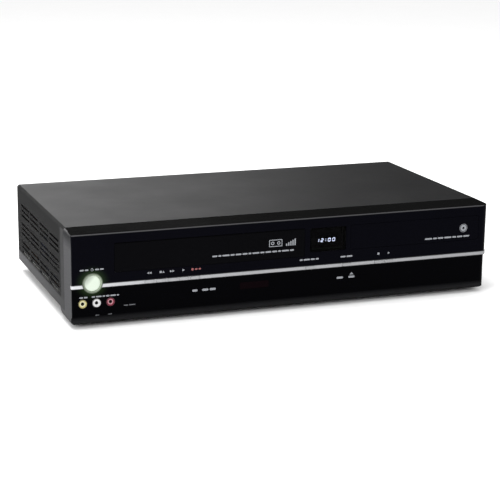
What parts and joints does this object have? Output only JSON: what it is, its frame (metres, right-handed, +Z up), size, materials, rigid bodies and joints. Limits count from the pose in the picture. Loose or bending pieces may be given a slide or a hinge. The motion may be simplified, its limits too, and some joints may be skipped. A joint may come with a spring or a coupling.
{
  "type": "disc and cassette player",
  "caption": "Wide low player cabinet with a swing-in cassette door, a sliding disc tray, thin keys in a silver strip, a lit power button and front phono jacks.",
  "frame": {"origin": "centre of the footprint, on the surface the feet stand on", "axes": "+X to the right seen from the front, +Y from the front face to the back, +Z up"},
  "size_m": [0.435, 0.244, 0.093],
  "materials": {
    "cover_paint": "satin",
    "zinc_steel": "zinc plated",
    "gloss_black": "gloss",
    "silver_trim": "silver paint",
    "ring_light": "lit translucent",
    "button_white": "translucent white",
    "smoked_window": "smoked",
    "tube_glass": "glass tube",
    "jack_yellow": "moulded",
    "jack_white": "moulded",
    "jack_red": "moulded",
    "black_plastic": "moulded",
    "circuit_green": "solder mask",
    "screw_black": "black oxide",
    "machined_alloy": "machined",
    "flywheel_brass": "turned",
    "pinch_rubber": "ground",
    "ivory_plastic": "moulded"
  },
  "bodies": {
    "cabinet": {"top_cover": "cover_paint", "bottom_chassis": "zinc_steel", "rear_panel": "zinc_steel", "feet": "black_plastic", "case_screws": "screw_black", "front_bezel": "gloss_black", "front_trim_strip": "silver_trim", "power_light_ring": "ring_light", "display_window": "smoked_window", "display_tube": "tube_glass", "remote_window": "smoked_window", "jack_video": "jack_yellow", "jack_audio_left": "jack_white", "jack_audio_right": "jack_red", "front_jack_block": "black_plastic", "key_circuit_board": "circuit_green", "main_circuit_board": "circuit_green", "power_supply_board": "circuit_green", "tuner_module": "zinc_steel", "rear_jack_block": "black_plastic", "mains_gland": "black_plastic", "deck_base": "zinc_steel", "deck_side_rails": "zinc_steel", "lower_drum": "machined_alloy", "tape_heads": "zinc_steel", "loading_motor": "zinc_steel", "loader_frame": "black_plastic", "tray_motor": "zinc_steel", "clamp_bridge": "zinc_steel"},
    "power_button": {"power_button": "button_white"},
    "cassette_door": {"cassette_door": "gloss_black"},
    "disc_tray": {"disc_tray": "black_plastic", "tray_front": "gloss_black"},
    "tray_gear": {"tray_gear": "ivory_plastic"},
    "traverse": {"traverse_frame": "black_plastic"},
    "spindle": {"spindle_turntable": "machined_alloy"},
    "laser": {"laser_pickup": "black_plastic"},
    "clamp_puck": {"clamp_puck": "ivory_plastic"},
    "upper_drum": {"upper_drum": "machined_alloy"},
    "capstan": {"capstan_flywheel": "flywheel_brass"},
    "pinch_arm": {"pinch_arm": "zinc_steel"},
    "pinch_roller": {"pinch_roller": "pinch_rubber"},
    "supply_reel": {"supply_reel": "ivory_plastic"},
    "takeup_reel": {"takeup_reel": "ivory_plastic"},
    "guide_post_left": {"guide_post_left": "machined_alloy"},
    "guide_post_right": {"guide_post_right": "machined_alloy"},
    "cam_gear": {"cam_gear": "ivory_plastic"},
    "carriage_slider": {"carriage_slider": "zinc_steel"},
    "cassette_holder": {"cassette_holder": "zinc_steel"},
    "key_rewind": {"key_rewind": "silver_trim"},
    "key_stop": {"key_stop": "silver_trim"},
    "key_fast_forward": {"key_fast_forward": "silver_trim"},
    "key_play": {"key_play": "silver_trim"},
    "key_record": {"key_record": "silver_trim"},
    "key_output_select": {"key_output_select": "silver_trim"},
    "key_open_close": {"key_open_close": "silver_trim"},
    "key_disc_stop": {"key_disc_stop": "silver_trim"},
    "key_disc_play": {"key_disc_play": "silver_trim"}
  },
  "joints": [
    {"name": "power_press", "type": "slide", "parent": "cabinet", "child": "power_button", "axis": [0, 1, 0], "range_m": [0, 0.0012], "stiffness_N_per_m": 400},
    {"name": "key_rewind_press", "type": "slide", "parent": "cabinet", "child": "key_rewind", "axis": [0, 1, 0], "range_m": [0, 0.0008], "stiffness_N_per_m": 300},
    {"name": "key_stop_press", "type": "slide", "parent": "cabinet", "child": "key_stop", "axis": [0, 1, 0], "range_m": [0, 0.0008], "stiffness_N_per_m": 300},
    {"name": "key_fast_forward_press", "type": "slide", "parent": "cabinet", "child": "key_fast_forward", "axis": [0, 1, 0], "range_m": [0, 0.0008], "stiffness_N_per_m": 300},
    {"name": "key_play_press", "type": "slide", "parent": "cabinet", "child": "key_play", "axis": [0, 1, 0], "range_m": [0, 0.0008], "stiffness_N_per_m": 300},
    {"name": "key_record_press", "type": "slide", "parent": "cabinet", "child": "key_record", "axis": [0, 1, 0], "range_m": [0, 0.0008], "stiffness_N_per_m": 300},
    {"name": "key_output_select_press", "type": "slide", "parent": "cabinet", "child": "key_output_select", "axis": [0, 1, 0], "range_m": [0, 0.0008], "stiffness_N_per_m": 300},
    {"name": "key_open_close_press", "type": "slide", "parent": "cabinet", "child": "key_open_close", "axis": [0, 1, 0], "range_m": [0, 0.0008], "stiffness_N_per_m": 300},
    {"name": "key_disc_stop_press", "type": "slide", "parent": "cabinet", "child": "key_disc_stop", "axis": [0, 1, 0], "range_m": [0, 0.0008], "stiffness_N_per_m": 300},
    {"name": "key_disc_play_press", "type": "slide", "parent": "cabinet", "child": "key_disc_play", "axis": [0, 1, 0], "range_m": [0, 0.0008], "stiffness_N_per_m": 300},
    {"name": "door_swing", "type": "hinge", "parent": "cabinet", "child": "cassette_door", "pos_m": [-0.08, -0.1176, 0.0799], "axis": [1, 0, 0], "range_deg": [0, 80], "stiffness_Nm_per_rad": 0.01},
    {"name": "tray_slide", "type": "slide", "parent": "cabinet", "child": "disc_tray", "axis": [0, -1, 0], "range_m": [0, 0.138]},
    {"name": "tray_gear_spin", "type": "hinge", "parent": "cabinet", "child": "tray_gear", "pos_m": [0.087, -0.0905, 0.062], "axis": [0, 0, 1], "range_deg": [-10, 900]},
    {"name": "traverse_lift", "type": "hinge", "parent": "cabinet", "child": "traverse", "pos_m": [0.1355, 0.0505, 0.057], "axis": [-1, 0, 0], "range_deg": [0, 4]},
    {"name": "spindle_spin", "type": "hinge", "parent": "traverse", "child": "spindle", "pos_m": [0.1355, -0.04597, 0.05326], "axis": [0, -0.0698, 0.9976], "continuous": true},
    {"name": "laser_slide", "type": "slide", "parent": "traverse", "child": "laser", "axis": [0, 0.9976, 0.0698], "range_m": [0, 0.034]},
    {"name": "clamp_spin", "type": "hinge", "parent": "cabinet", "child": "clamp_puck", "pos_m": [0.1355, -0.046, 0.075], "axis": [0, 0, 1], "continuous": true},
    {"name": "drum_spin", "type": "hinge", "parent": "cabinet", "child": "upper_drum", "pos_m": [-0.08, 0.054, 0.034], "axis": [0, -0.1045, 0.9945], "continuous": true},
    {"name": "capstan_spin", "type": "hinge", "parent": "cabinet", "child": "capstan", "pos_m": [-0.018, 0.034, 0.03], "axis": [0, 0, 1], "continuous": true},
    {"name": "cam_turn", "type": "hinge", "parent": "cabinet", "child": "cam_gear", "pos_m": [-0.152, 0.0675, 0.0296], "axis": [0, 0, 1], "range_deg": [0, 170]},
    {"name": "pinch_swing", "type": "hinge", "parent": "cabinet", "child": "pinch_arm", "pos_m": [0.008, 0.04, 0.0296], "axis": [0, 0, -1], "range_deg": [0, 24.5]},
    {"name": "pinch_roller_spin", "type": "hinge", "parent": "pinch_arm", "child": "pinch_roller", "pos_m": [-0.00985, 0.01715, 0.0296], "axis": [0, 0, 1], "continuous": true},
    {"name": "supply_spin", "type": "hinge", "parent": "cabinet", "child": "supply_reel", "pos_m": [-0.126, -0.052, 0.0296], "axis": [0, 0, 1], "continuous": true},
    {"name": "takeup_spin", "type": "hinge", "parent": "cabinet", "child": "takeup_reel", "pos_m": [-0.034, -0.052, 0.0296], "axis": [0, 0, 1], "continuous": true},
    {"name": "post_slide_left", "type": "slide", "parent": "cabinet", "child": "guide_post_left", "axis": [-0.2723, 0.9622, 0], "range_m": [0, 0.058]},
    {"name": "post_slide_right", "type": "slide", "parent": "cabinet", "child": "guide_post_right", "axis": [0.2723, 0.9622, 0], "range_m": [0, 0.058]},
    {"name": "carriage_in", "type": "slide", "parent": "cabinet", "child": "carriage_slider", "axis": [0, 1, 0], "range_m": [0, 0.065]},
    {"name": "carriage_down", "type": "slide", "parent": "carriage_slider", "child": "cassette_holder", "axis": [0, 0, -1], "range_m": [0, 0.02]}
  ],
  "couplings": [
    {"joint": "tray_gear_spin", "follows": "tray_slide", "rad_per_m": 109.89},
    {"joint": "post_slide_left", "follows": "cam_turn", "m_per_rad": 0.019538},
    {"joint": "post_slide_right", "follows": "cam_turn", "m_per_rad": 0.019538},
    {"joint": "pinch_swing", "follows": "cam_turn", "ratio": 0.14405}
  ]
}
